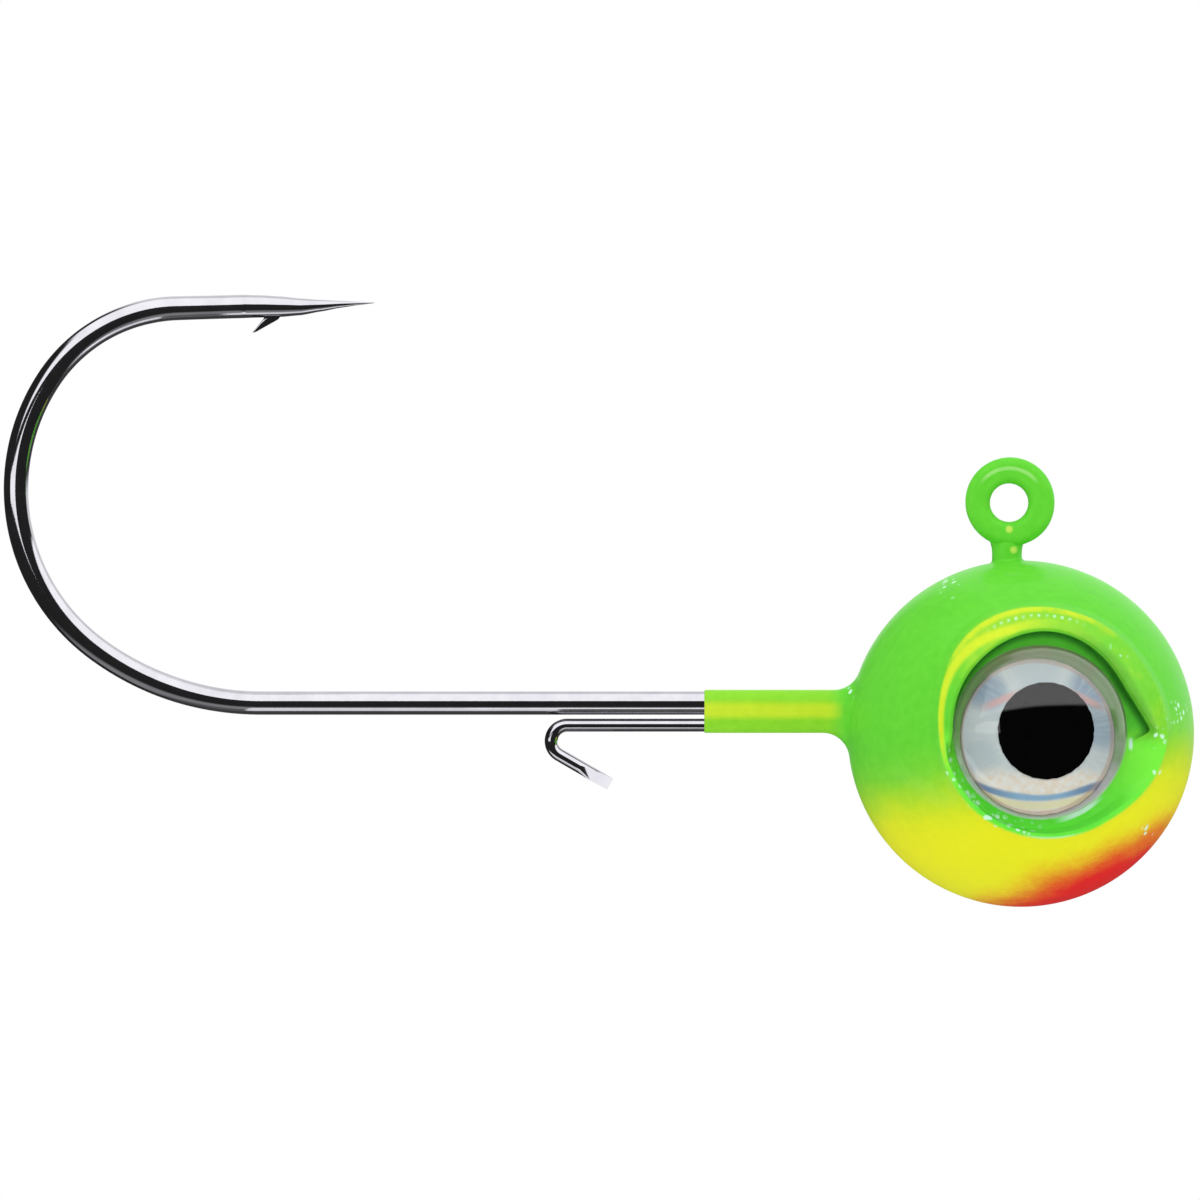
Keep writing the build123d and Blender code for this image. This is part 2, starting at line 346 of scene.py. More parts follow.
def fade_paint():
    """Airbrushed green that fades to yellow and red underneath, under a clear coat, with painted
    highlights and shade round the eye, on the sleeve and on the ring.
    """
    material, graph, shader = new_material("fade_paint")
    side, _, height, _ = graph.place(BALL, BALL_R)
    _, _, _, spot = graph.place((0, 0, 0), MM)
    drift = graph.minus(graph.noise(spot, 0.55, 3.0), 0.5)
    speck = graph.minus(graph.noise(spot, 7.0, 2.0), 0.5)
    wander = graph.weighted(drift, 0.14, speck, 0.05)

    # the airbrushed fades
    fall = graph.plus(graph.weighted(height, -1.0, side, 0.17), wander)
    body = graph.ramp(
        graph.ease(fall, -0.10, 0.62),
        (0.0, paint(100, 212, 52)),
        (0.22, paint(122, 215, 50)),
        (0.50, paint(176, 224, 40)),
        (0.80, paint(222, 234, 30)),
        (1.0, paint(236, 238, 28)),
    )
    low_front = graph.plus(graph.weighted(side, 0.42, height, -0.91), wander)
    blush = graph.ease(low_front, 0.64, 0.94)
    body = graph.mix(
        blush,
        body,
        graph.ramp(
            blush,
            (0.10, paint(240, 200, 30)),
            (0.45, paint(238, 140, 30)),
            (0.72, paint(233, 84, 28)),
            (1.0, paint(232, 28, 26)),
        ),
    )

    # distances round the eye, in millimetres in its own plane
    ahead, _, above, _ = graph.place(EYE, MM)
    reach = graph.maths("SQRT", graph.plus(graph.times(ahead, ahead), graph.times(above, above)))
    level = graph.maths("DIVIDE", above, graph.maths("MAXIMUM", reach, 0.01))
    forward = graph.maths("DIVIDE", ahead, graph.maths("MAXIMUM", reach, 0.01))
    bearing = graph.maths("ARCTAN2", above, ahead)
    lid = graph.add("ShaderNodeAttribute", {"attribute_name": "lid"}).outputs["Fac"]
    upper = graph.ease(level, -0.12, 0.08)
    lower = graph.minus(1.0, upper)

    # green pooled in the bowl round the eye, kept inside its crest, painted lighter to make up for the
    # bowl's shade
    bowl = graph.ease(graph.plus(lid, graph.times(speck, 0.15)), 0.75, 1.45, 1.0, 0.0)
    pooled_and_lit = graph.mix(
        graph.ease(graph.plus(level, wander), -0.9, -0.2), paint(104, 240, 66), paint(124, 244, 66)
    )
    body = graph.mix(graph.times(bowl, lower), body, pooled_and_lit)

    # the upper lid: yellow-green band, yellow painted highlights along its two ridges, a painted shadow
    # in the dark crease under it, and painted shade beside the crease toward the front
    band = graph.times(graph.ease(lid, -0.6, 0.0), graph.ease(lid, 0.9, 1.5, 1.0, 0.0))
    band = graph.times(graph.times(band, upper), graph.ease(forward, -0.95, -0.5))
    green = graph.weighted(graph.noise(spot, 1.6, 3.0), 0.9, forward, 0.25)
    lid_tone = graph.ramp(green, (0.20, paint(172, 222, 48)), (0.70, paint(122, 214, 52)))
    body = graph.mix(graph.times(band, 0.8), body, lid_tone)
    thin = graph.noise(spot, 2.4, 2.0)
    # painted highlights along the lid's outer ridge and its inner ridge
    outer = graph.times(graph.line(lid, 0.98, 0.24), graph.ease(level, 0.45, 0.8))
    outer = graph.times(outer, graph.ease(forward, 0.70, 0.35))
    outer = graph.times(outer, graph.ease(thin, 0.25, 0.6, 0.35, 0.8))
    back = graph.ease(forward, 0.25, -0.35)
    inner_place = graph.ease(forward, -1.0, -0.2, 0.85, 0.25)
    inner = graph.line(graph.minus(lid, inner_place), 0.0, 0.34)
    inner = graph.times(inner, graph.times(back, graph.ease(level, -0.5, 0.05)))
    ridge_highlights = graph.maths("MAXIMUM", outer, graph.times(inner, 0.85))
    body = graph.mix(ridge_highlights, body, paint(216, 234, 40))
    body = graph.mix(graph.times(graph.ease(lid, -0.85, -1.0), upper), body, paint(92, 212, 56))
    # painted shadow: dark green along the crease under the lid
    crease = graph.times(graph.line(lid, -0.85, 0.35), graph.ease(level, -0.10, 0.04))
    body = graph.mix(graph.times(crease, 0.85), body, paint(34, 120, 30))
    shade = graph.times(graph.line(lid, -0.2, 0.75), graph.ease(forward, 0.10, 0.75))
    body = graph.mix(graph.times(graph.times(shade, upper), 0.6), body, paint(76, 150, 40))

    # sleeve on the shank: yellower, with a painted highlight stripe along its middle
    x_mm, _, z_mm, _ = graph.place((0, 0, 0), MM)
    sleeve = graph.ease(graph.plus(x_mm, wander), -5.75, -6.5)
    stripe_highlight = graph.line(graph.plus(z_mm, graph.times(drift, 0.12)), KEEPER_Z / MM + 0.52, 0.42)
    body = graph.mix(graph.times(sleeve, 0.85), body, paint(146, 218, 44))
    body = graph.mix(graph.times(graph.times(sleeve, stripe_highlight), 0.9), body, paint(206, 232, 48))

    # painted highlight along the ring's top edge, and two pale painted glints under its hole
    ring_reach = graph.maths("SQRT", graph.plus(graph.times(x_mm, x_mm), graph.times(z_mm, z_mm)))
    rim = graph.times(graph.line(ring_reach, 1.22, 0.10), graph.ease(z_mm, 0.6, 1.0))
    body = graph.mix(graph.times(rim, 0.5), body, paint(186, 242, 150))
    # two painted glints under the ring's hole
    for x, z in ((0.0, -0.95), (0.16, -1.68)):
        body = graph.mix(graph.spot(x_mm, z_mm, x, z, 0.17), body, paint(196, 232, 96))

    # mottle of the sprayed coats
    mottle = graph.noise(spot, 3.0, 4.0)
    tones = graph.ramp(mottle, (0.3, (0, 0, 0, 1)), (0.7, (1, 1, 1, 1)))
    body = graph.mix(0.10, body, tones, "SOFT_LIGHT")

    # painted highlights: specks as if light caught on the ripples of the coat, thickest behind and
    # below the eye, with a row of glints along the lid, a glint beside the eye, an arc by the dome and
    # a line on the lower crest
    cell = graph.add("ShaderNodeTexVoronoi", {"feature": "F1"}, Vector=spot, Scale=3.6)
    chance = graph.add("ShaderNodeSeparateColor", Color=cell.outputs["Color"]).outputs[0]
    dot = graph.ease(cell.outputs["Distance"], 0.42, 0.26)
    dot = graph.times(dot, graph.maths("GREATER_THAN", chance, 0.2))
    bowl_band = graph.times(graph.ease(lid, -1.1, -0.7), graph.ease(lid, 1.5, 1.1))
    where = graph.times(bowl_band, graph.ease(level, 0.0, -0.12))
    where = graph.times(where, graph.ease(forward, 0.10, -0.15))
    for x, z, size in (
        (4.2, -0.2, 0.45),
        (4.1, -1.4, 0.35),
        (2.9, 2.95, 0.45),
        (-3.1, 5.1, 0.45),
        (4.9, 0.7, 0.5),
        (-6.6, 1.4, 0.25),
        (3.9, -3.5, 0.28),
    ):
        where = graph.maths("MAXIMUM", where, graph.spot(ahead, above, x, z, size))
    # painted glints in a row along the lid
    bead_glints = graph.line(graph.maths("FRACT", graph.times(bearing, 15.0)), 0.5, 0.30)
    bead_glints = graph.times(bead_glints, graph.line(lid, 0.66, 0.10))
    bead_glints = graph.times(bead_glints, graph.ease(level, 0.88, 0.97))
    bead_glints = graph.times(bead_glints, graph.ease(thin, 0.35, 0.6, 0.15, 0.6))
    glint = graph.times(graph.line(ahead, 3.27, 0.10), graph.line(above, -0.42, 0.28))
    arc = graph.times(graph.line(lid, -0.95, 0.20), graph.line(bearing, -1.08, 0.34))
    edge = graph.times(graph.line(lid, 1.0, 0.22), graph.line(bearing, -1.45, 0.35))
    gleam = graph.times(graph.times(dot, where), 0.9)
    for mark in (bead_glints, glint, arc, graph.times(edge, 0.4)):
        gleam = graph.maths("MAXIMUM", gleam, mark)
    body = graph.mix(gleam, body, paint(212, 255, 226))

    graph.put(shader.inputs["Base Color"], body)
    ripple = graph.noise(spot, 5.0, 3.0)
    bump = graph.add("ShaderNodeBump", Strength=0.12, Distance=0.00002, Height=ripple)
    graph.put(shader.inputs["Normal"], bump.outputs[0])
    graph.put(shader.inputs["Roughness"], graph.ease(mottle, 0.2, 0.8, 0.40, 0.55))
    set_shader(shader, Coat_Weight=0.12, Coat_Roughness=0.05, Coat_IOR=1.45, Specular_IOR_Level=0.08)
    return material


def eye_plane_places(graph):
    """Forward, up and distance from the eye's centre in millimetres, the bearing and the vector."""
    ahead, _, above, spot = graph.place(EYE, MM)
    reach = graph.maths("SQRT", graph.plus(graph.times(ahead, ahead), graph.times(above, above)))
    bearing = graph.maths("ARCTAN2", above, ahead)
    return ahead, above, reach, bearing, spot


def eye_foil():
    """Holographic silver foil: radial grain, blue and pink patches of painted sheen, cream below a blue
    arc of painted light.
    """
    material, graph, shader = new_material("eye_foil")
    ahead, above, reach, bearing, spot = eye_plane_places(graph)
    spokes = graph.add("ShaderNodeCombineXYZ", X=graph.times(bearing, 9.0), Y=graph.times(reach, 0.8))
    grain = graph.noise(spokes.outputs[0], 2.2, 4.0, 0.6)
    cloud = graph.noise(spot, 0.9, 3.0)
    silver = graph.ramp(
        graph.weighted(grain, 0.7, cloud, 0.3),
        (0.30, paint(208, 224, 228)),
        (0.52, paint(220, 231, 231)),
        (0.75, paint(236, 242, 240)),
    )

    tone = silver
    # blue hazes of painted sheen: forward, up, size and strength
    for x, z, size, strength in (
        (-1.60, 1.25, 0.35, 0.80),
        (1.60, 1.38, 0.50, 0.85),
        (1.95, 0.10, 0.40, 0.65),
        (-0.10, 2.05, 0.60, 0.20),
        (-1.85, -0.75, 0.30, 0.20),
    ):
        sheen_haze = graph.times(graph.spot(ahead, above, x, z, size + 0.45), strength)
        sheen_haze = graph.times(sheen_haze, graph.ease(grain, 0.3, 0.6, 0.6, 1.0))
        tone = graph.mix(sheen_haze, tone, paint(134, 164, 192))
    # pink streaks of painted sheen: forward, up and slope
    for x, z, slope in ((-1.25, 1.00, 0.42), (1.42, 1.02, -0.45)):
        tilt = graph.minus(above, graph.plus(graph.times(graph.minus(ahead, x), slope), z))
        sheen_streak = graph.times(graph.line(tilt, 0.0, 0.20), graph.line(ahead, x, 0.75))
        tone = graph.mix(graph.times(sheen_streak, 0.7), tone, paint(232, 178, 170))
    # cream flecks low down, over a sagging blue arc and its pale edge, which are painted light, as
    # focused through the dome
    low = graph.ease(graph.plus(above, graph.times(cloud, 0.4)), -0.75, -1.35)
    flecks = graph.noise(spot, 6.0, 3.0)
    cream = graph.ramp(flecks, (0.35, paint(250, 238, 218)), (0.65, paint(255, 254, 248)))
    tone = graph.mix(low, tone, cream)
    sag = graph.plus(above, graph.times(graph.times(ahead, ahead), -0.155))
    ends = graph.ease(graph.maths("ABSOLUTE", ahead), 0.5, 1.6)
    blue = graph.mix(ends, paint(128, 186, 226), paint(84, 136, 184))
    tone = graph.mix(graph.times(graph.line(sag, -2.05, 0.13), 0.9), tone, blue)
    tone = graph.mix(graph.line(sag, -2.22, 0.12), tone, paint(246, 244, 200))
    off_x, off_z = graph.plus(ahead, 0.03), graph.plus(above, 0.10)
    out = graph.maths("SQRT", graph.plus(graph.times(off_x, off_x), graph.times(off_z, off_z)))
    tone = graph.mix(graph.times(graph.line(out, 2.28, 0.07), 0.5), tone, paint(196, 160, 132))
    graph.put(shader.inputs["Base Color"], tone)
    graph.put(shader.inputs["Roughness"], graph.ease(cloud, 0.3, 0.7, 0.34, 0.44))
    bump = graph.add("ShaderNodeBump", Strength=0.05, Distance=0.00001, Height=cloud)
    graph.put(shader.inputs["Normal"], bump.outputs[0])
    set_shader(shader, Metallic=0.12, Specular_IOR_Level=0.3)
    return material


def eye_glue():
    """Clear glue, coloured by height: pale low down, green-grey at the back where the paint below tints
    it, tan on top.
    """
    material, graph, shader = new_material("eye_glue")
    _, above, _, _, spot = eye_plane_places(graph)
    cloud = graph.noise(spot, 1.4, 3.0)
    tone = graph.ramp(
        graph.plus(graph.times(above, 0.16), graph.times(cloud, 0.5)),
        (0.0, paint(222, 220, 224)),
        (0.28, paint(128, 178, 104)),
        (0.55, paint(126, 160, 104)),
        (0.82, paint(150, 140, 104)),
    )
    graph.put(shader.inputs["Base Color"], tone)
    graph.put(shader.inputs["Roughness"], graph.ease(cloud, 0.2, 0.8, 0.25, 0.45))
    return material


def eye_ink():
    """Printed black pupil."""
    material, graph, shader = new_material("eye_ink")
    _, _, _, _, spot = eye_plane_places(graph)
    cloud = graph.noise(spot, 5.0, 3.0)
    black = graph.ramp(cloud, (0.3, paint(0, 0, 0)), (0.7, paint(2, 2, 3)))
    graph.put(shader.inputs["Base Color"], black)
    graph.put(shader.inputs["Roughness"], graph.ease(cloud, 0.2, 0.8, 0.5, 0.65))
    set_shader(shader, Specular_IOR_Level=0.0)
    return material


def eye_resin():
    """Clear poured resin, very slightly uneven."""
    material, graph, shader = new_material("eye_resin")
    _, _, _, _, spot = eye_plane_places(graph)
    wave = graph.noise(spot, 0.8, 1.0)
    clear = graph.ramp(wave, (0.3, (0.985, 0.99, 0.985, 1)), (0.7, (1, 1, 1, 1)))
    graph.put(shader.inputs["Base Color"], clear)
    graph.put(shader.inputs["Roughness"], graph.ease(wave, 0.2, 0.8, 0.0, 0.01))
    set_shader(shader, Transmission_Weight=1.0, IOR=1.5)
    return material


NICKEL = black_nickel()
LEAD = lead_alloy()
COAT = fade_paint()
FOIL = eye_foil()
GLUE = eye_glue()
INK = eye_ink()
RESIN = eye_resin()


# ------------------------------------------------------------------------------- hook
def build_hook():
    """One wire from the ring's stem to the needle point, with its barb and its own ring."""
    bm = bmesh.new()
    down = [(STEM_X, -RING_MID_R, radians(-90))]
    run(down, -RING_MID_R - SHANK_Z - ELBOW_R, 6)
    turn(down, ELBOW_R, radians(-90), 10)
    elbow_x = down[-1][0]
    run(down, SHANK_LENGTH + elbow_x, 24)
    shank_steps = len(down)
    # the bend: radius in millimetres, angle and parts of each arc
    for radius, angle, parts in ((9.77, 36.7, 36), (7.07, 86.6, 72), (5.61, 55.15, 40)):
        turn(down, radius * MM, radians(-angle), parts)
    bend_steps = len(down)
    run(down, 2.4 * MM, 10)
    places = []
    for step, spot in enumerate(down):
        forged = smooth(step, shank_steps, shank_steps + 22)
        forged = min(forged, 1 - smooth(step, bend_steps - 10, bend_steps + 8))
        places.append(
            section_place(spot, WIRE_R * (1 + 0.05 * forged), WIRE_R * (1 - 0.10 * forged))
        )
    # ground point: distance back from the tip, diameter, and drop to the gape, in millimetres
    grind = (
        (4.60, 0.835, 0.0),
        (4.00, 0.80, 0.015),
        (3.30, 0.735, 0.045),
        (2.60, 0.60, 0.07),
        (1.90, 0.42, 0.05),
        (1.20, 0.25, 0.02),
        (0.50, 0.11, 0.005),
        (0.0, 0.035, 0.0),
    )
    x, z, heading = down[-1]
    tip_x = x + POINT_LENGTH * cos(heading)
    tip_z = z + POINT_LENGTH * sin(heading)
    for (far, wide, sunk), (near, thin, raised) in zip(grind, grind[1:]):
        for part in range(6):
            share = smooth(part / 6, 0, 1) * 0.35 + part / 6 * 0.65
            back = (far + (near - far) * part / 6) * MM
            half = (wide + (thin - wide) * share) / 2 * MM
            drop = (sunk + (raised - sunk) * share) * MM
            spot = (tip_x - back * cos(heading), tip_z - back * sin(heading), heading)
            places.append(section_place(spot, half, half * 0.97, -drop))
    places.append(section_place((tip_x, tip_z, heading), 0.012 * MM, 0.012 * MM))
    sweep(bm, places, 40)

    # barb, sliced up from the inner side of the point: back from the tip, into the gape
    along = Vector((cos(heading), 0, sin(heading)))
    inward = Vector((sin(heading), 0, -cos(heading)))
    tip = Vector((tip_x, 0, tip_z))
    outline = ((3.95, 0.10), (3.93, 0.44), (4.36, 0.95), (4.22, 0.92), (3.42, 0.50), (3.12, 0.10))
    near_side = tip - Vector((0, BARB_THICK / 2, 0))
    corners = [
        bm.verts.new(near_side - along * (back * MM) + inward * (rise * MM))
        for back, rise in outline
    ]
    blade = bm.faces.new(corners)
    made = bmesh.ops.extrude_face_region(bm, geom=[blade])["geom"]
    verts = [item for item in made if isinstance(item, bmesh.types.BMVert)]
    bmesh.ops.translate(bm, vec=(0, BARB_THICK, 0), verts=verts)
    rims = [edge for edge in bm.edges if edge.verts[0] in set(verts) | set(corners)]
    bmesh.ops.bevel(
        bm,
        geom=rims,
        offset=0.02 * MM,
        offset_type="OFFSET",
        affect="EDGES",
        segments=2,
        profile=0.5,
        material=-1,
    )

    # the wire's own closed ring, inside the coat
    place = Matrix.Translation((RING_MID_R, 0, 0)) @ Matrix.Diagonal((0.34 * MM, 0.45 * MM, 1, 1))
    made = bmesh.ops.create_circle(bm, cap_ends=False, radius=1, segments=24, matrix=place)
    ring = made["verts"]
    edges = [edge for edge in bm.edges if edge.verts[0] in set(ring) and edge.verts[1] in set(ring)]
    bmesh.ops.spin(
        bm, geom=ring + edges, cent=(0, 0, 0), axis=(0, 1, 0), angle=2 * pi, steps=64, use_merge=True
    )
    piece("hook_wire", bm, NICKEL, "hook", crisp=35)


def build_keeper():
    """Thin wire out of the ball, along under the shank and back in a V, with a chisel end."""
    bm = bmesh.new()
    anchor_x = cast_low.x + 2.42 * MM
    spots = [
        (
            anchor_x + (0.8 * sin(radians(75)) + 0.9 * cos(radians(75))) * MM,
            KEEPER_Z - (0.8 * (1 - cos(radians(75))) + 0.9 * sin(radians(75))) * MM,
            radians(105),
        )
    ]
    run(spots, 0.9 * MM, 3)
    turn(spots, 0.8 * MM, radians(75), 10)
    run(spots, anchor_x - COLLAR_END + 4.87 * MM, 12)
    turn(spots, 0.565 * MM, radians(150), 30)
    run(spots, 2.09 * MM, 12)
    sweep(bm, [section_place(spot, KEEPER_R, KEEPER_R) for spot in spots], 36)

    # chisel face on the right side of the leg's end
    x, z, heading = spots[-1]
    along = Vector((cos(heading), 0, sin(heading)))
    across = along.cross(Vector((0, 1, 0)))
    across.rotate(Matrix.Rotation(radians(20), 3, along))
    side = along.cross(across)
    leaves = 0.25 * MM
    slope = 2 * KEEPER_R - leaves
    made = bmesh.ops.bisect_plane(
        bm,
        geom=bm.verts[:] + bm.edges[:] + bm.faces[:],
        plane_co=Vector((x, 0, z)) - side * (leaves - KEEPER_R),
        plane_no=side * (1.10 * MM) + along * slope,
        clear_outer=True,
    )
    cut = [item for item in made["geom_cut"] if isinstance(item, bmesh.types.BMEdge)]
    bmesh.ops.contextual_create(bm, geom=cut)
    piece("keeper_wire_bent", bm, NICKEL, "keeper_wire", crisp=30)


# -------------------------------------------------------------------------- painted head
def hump(bearing, middle, half_width, height):
    """A rise of some height round the eye, at a bearing in degrees."""
    away = abs((degrees(bearing) - middle + 180) % 360 - 180)
    return height * (1 - smooth(away, 0, half_width)) * MM


def crease_at(bearing):
    """How far out the socket's crease lies: high over the eye, close to it at the back."""
    shift = hump(bearing, 80, 55, 0.22) + hump(bearing, 190, 75, -0.22)
    if abs(bearing) < CORNER_ANGLE:
        return SOCKET_R / cos(abs(bearing) - CORNER_ANGLE) + shift
    return SOCKET_R + shift


def crest_at(bearing):
    """How far out the lid's crest lies, with the corner at the front and a full brow."""
    oval = 4.05 * MM + 0.42 * MM * cos(bearing - radians(50))
    front = hump(bearing, -6, 48, 0.36)
    return oval + front + hump(bearing, 118, 50, 0.16) + hump(bearing, 180, 60, -0.12)


def ball_height(reach, bearing):
    """The ball's height over the socket's floor plane."""
    spot = EYE + (EYE_ALONG * cos(bearing) + EYE_UP * sin(bearing)) * reach - BALL
    lean = spot.dot(EYE_OUT)
    return -lean + sqrt(max(0.0, lean * lean - spot.length_squared + BALL_R * BALL_R))


def eye_spot(reach, bearing, height):
    """A point round the right eye, at a height over the socket's floor plane."""
    return EYE + (EYE_ALONG * cos(bearing) + EYE_UP * sin(bearing)) * reach + EYE_OUT * height


def lid_profile(bearing):
    """Distance out and height at the turns of the lid's section, from the floor to the ball."""
    crease = crease_at(bearing)
    crest = crest_at(bearing)
    hooded = smooth(degrees(bearing), -7, 2) * (1 - smooth(degrees(bearing), 178, 200))
    if degrees(bearing) < -90:
        hooded = 1 - smooth(degrees(bearing) + 360, 178, 200)

    def both(lid, bowl):
        return hooded * lid + (1 - hooded) * bowl

    middle = (crease + crest) / 2
    points = []
    for lid_reach, lid_lift, bowl_reach, bowl_lift in (
        (crease - 0.05 * MM, None, DOME_R + 0.12 * MM, None),
        (crease - 0.01 * MM, 0.04, DOME_R + 0.28 * MM, None),
        (crease + 0.12 * MM, 0.16, (DOME_R + crest) / 2 + 0.02 * MM, None),
        (middle, 0.09, crest - 0.16 * MM, 0.0),
        (crest - 0.04 * MM, 0.20, crest, 0.07),
        (crest + 0.22 * MM, 0.0, crest + 0.16 * MM, 0.0),
    ):
        reach = both(lid_reach, bowl_reach)
        lid_z = 0.0 if lid_lift is None else ball_height(lid_reach, bearing) + lid_lift * MM
        if bowl_lift is None:
            share = max(0.0, (bowl_reach - DOME_R - 0.12 * MM) / (crest - DOME_R - 0.12 * MM))
            bowl_z = ball_height(crest, bearing) * share * share
        else:
            bowl_z = ball_height(bowl_reach, bearing) + bowl_lift * MM
        points.append((reach, both(lid_z, bowl_z)))
    return points


def build_head(bm, sides):
    """One side of the head in rings round the eye, out to the middle, then its mirror image."""
    lid = bm.verts.layers.float.new("lid")
    along = bm.verts.layers.float.new("bearing")
    earlier = set(bm.verts)
    for vert in earlier:
        vert[lid] = 3.0
    place = Matrix.Identity(4)
    place.col[0][:3] = EYE_ALONG * (2 * MM)
    place.col[1][:3] = EYE_UP * (2 * MM)
    place.col[2][:3] = EYE_OUT * MM
    place.col[3][:3] = EYE
    ring, verts = first_ring(bm, sides, place)
    profiles = {}
    marks = (-2.0, -1.0, -0.6, 0.0, 0.5, 1.0, 2.0)
    for vert in verts:
        vert[lid] = marks[0]
        local = vert.co - EYE
        vert[along] = atan2(local.dot(EYE_UP), local.dot(EYE_ALONG))
        profiles[vert[along]] = [(2 * MM, 0.0)] + lid_profile(vert[along])
    lid_verts = []
    for stretch, parts in enumerate((6, 6, 10, 10, 10, 8)):
        for part in range(1, parts + 1):
            ring, verts = grow_ring(bm, ring)
            for vert in verts:
                near, far = profiles[vert[along]][stretch : stretch + 2]
                share = part / parts
                reach = near[0] + (far[0] - near[0]) * share
                height = near[1] + (far[1] - near[1]) * share
                vert.co = eye_spot(reach, vert[along], height)
                vert[lid] = marks[stretch] + (marks[stretch + 1] - marks[stretch]) * share
            lid_verts += verts
    rounds = 46
    start = {vert[along]: (vert.co - BALL).normalized() for vert in verts}
    for part in range(1, rounds + 1):
        ring, verts = grow_ring(bm, ring)
        for vert in verts:
            rim = Vector((cos(vert[along]), 0, sin(vert[along])))
            toward = start[vert[along]].slerp(rim, part / rounds).normalized()
            vert.co = BALL + toward * BALL_R
            vert[lid] = 2.0 + part / rounds
    for _ in range(3):
        bmesh.ops.smooth_vert(
            bm, verts=lid_verts[:-sides], factor=0.5, use_axis_x=True, use_axis_y=True, use_axis_z=True
        )
    half = [vert for vert in bm.verts if vert not in earlier]
    half += [edge for edge in bm.edges if edge.verts[0] not in earlier]
    half += [face for face in bm.faces if face.verts[0] not in earlier]
    bmesh.ops.mirror(bm, geom=half, matrix=Matrix.Identity(4), merge_dist=0.0002 * MM, axis="Y")
    bm.verts.layers.float.remove(along)


def flare_spots(wall, ahead, outward, radius, parts):
    """Points of the fillet that takes a wall, running ahead into the ball, out along its surface."""
    to_ball = BALL - wall
    ball_ahead = to_ball.dot(ahead)
    ball_out = to_ball.dot(outward)
    section = sqrt(BALL_R * BALL_R - to_ball.length_squared + ball_ahead**2 + ball_out**2)
    centre = ball_ahead - sqrt((section + radius) ** 2 - (radius - ball_out) ** 2)
    last = atan2(ball_out - radius, ball_ahead - centre)
    spots = []
    for part in range(parts + 1):
        angle = -pi / 2 + (last + pi / 2) * part / parts
        spots.append((centre + radius * cos(angle), radius + radius * sin(angle)))
    back = atan2(radius - ball_out, centre - ball_ahead)
    for further, sunk in ((0.01, 0.02), (0.05, 0.12)):
        angle = back - further
        inner = section - sunk * MM
        spots.append((ball_ahead + inner * cos(angle), ball_out + inner * sin(angle)))
    spots.append((ball_ahead - section * 0.6, 0.0))
    return [wall + ahead * reach + outward * out for reach, out in spots]


def build_sleeve(bm, places):
    """A sleeve whose rings are given one after another, each by its own points."""
    number = bm.verts.layers.int.new("number")
    ring, verts = first_ring(bm, len(places[0]), Matrix.Identity(4))
    for index, vert in enumerate(verts):
        vert[number] = index
        vert.co = places[0][index]
    for spots in places[1:]:
        ring, verts = grow_ring(bm, ring)
        for vert in verts:
            vert.co = spots[vert[number]]
    bmesh.ops.contextual_create(bm, geom=ring)
    bm.verts.layers.int.remove(number)


def build_collar(bm):
    """Sleeve over the shank and the keeper, which flares out on to the ball."""
    sides = 96
    top_r, low_r = WIRE_R + 0.045 * MM, KEEPER_R + 0.045 * MM
    drop = SHANK_Z - KEEPER_Z
    columns = []
    for side in range(sides):
        angle = 2 * pi * side / sides
        outward = Vector((0, cos(angle), sin(angle)))
        high = outward.z * drop + top_r - low_r > 0
        middle = Vector((0, 0, SHANK_Z if high else KEEPER_Z))
        radius = top_r if high else low_r
        column = []
        for back, inset in ((0.0, 0.05), (0.008, 0.015), (0.04, 0.0)):
            spot = middle + outward * (radius - inset * MM)
            column.append(Vector((COLLAR_END + back * MM, spot.y, spot.z)))
        wall = middle + outward * radius
        wall.x = COLLAR_END
        flare = flare_spots(wall, Vector((1, 0, 0)), outward, 0.95 * MM, 16)
        for share in (0.25, 0.5, 0.75):
            column.append(column[2].lerp(flare[0], share))
        columns.append(column + flare)
    build_sleeve(bm, list(zip(*columns)))


def build_stem(bm):
    """Sleeve over the stem, which widens up into the ring and flares a little on to the ball."""
    sides = 64
    narrow = WIRE_R + FILM
    columns = []
    for side in range(sides):
        angle = 2 * pi * side / sides
        outward = Vector((cos(angle), sin(angle), 0))
        column = []
        for down, half_width, half_depth in (
            (0.84, 0.42, 0.34),
            (1.02, 0.80, 0.44),
            (1.16, 0.735, 0.49),
            (1.30, 0.650, 0.515),
            (1.44, 0.585, 0.525),
            (1.60, 0.545, 0.53),
            (1.76, 0.530, 0.53),
        ):
            column.append(
                Vector((STEM_X + outward.x * half_width * MM, outward.y * half_depth * MM, -down * MM))
            )
        wall = Vector((STEM_X, 0, column[-1].z)) + outward * narrow
        columns.append(column + flare_spots(wall, Vector((0, 0, -1)), outward, 0.14 * MM, 8))
    build_sleeve(bm, list(zip(*columns)))


def build_ring(bm):
    """Coat over the line-tie ring: a flat band with soft corners, spun round the hole."""
    half = (RING_OUTER_R - RING_HOLE_R) / 2
    middle = (RING_OUTER_R + RING_HOLE_R) / 2
    corners = [
        bm.verts.new((middle + side * half, depth * RING_HALF_THICK, 0))
        for side, depth in ((-1, -1), (1, -1), (1, 1), (-1, 1))
    ]
    bm.faces.new(corners)
    bmesh.ops.bevel(
        bm,
        geom=corners,
        offset=RING_CORNER_R,
        offset_type="OFFSET",
        affect="VERTICES",
        segments=8,
        profile=0.5,
        material=-1,
    )
    section = max(bm.faces, key=lambda face: len(face.verts))
    outline = list(section.verts) + list(section.edges)
    bmesh.ops.delete(bm, geom=[section], context="FACES_ONLY")
    bmesh.ops.spin(
        bm, geom=outline, cent=(0, 0, 0), axis=(0, 1, 0), angle=2 * pi, steps=144, use_merge=True
    )


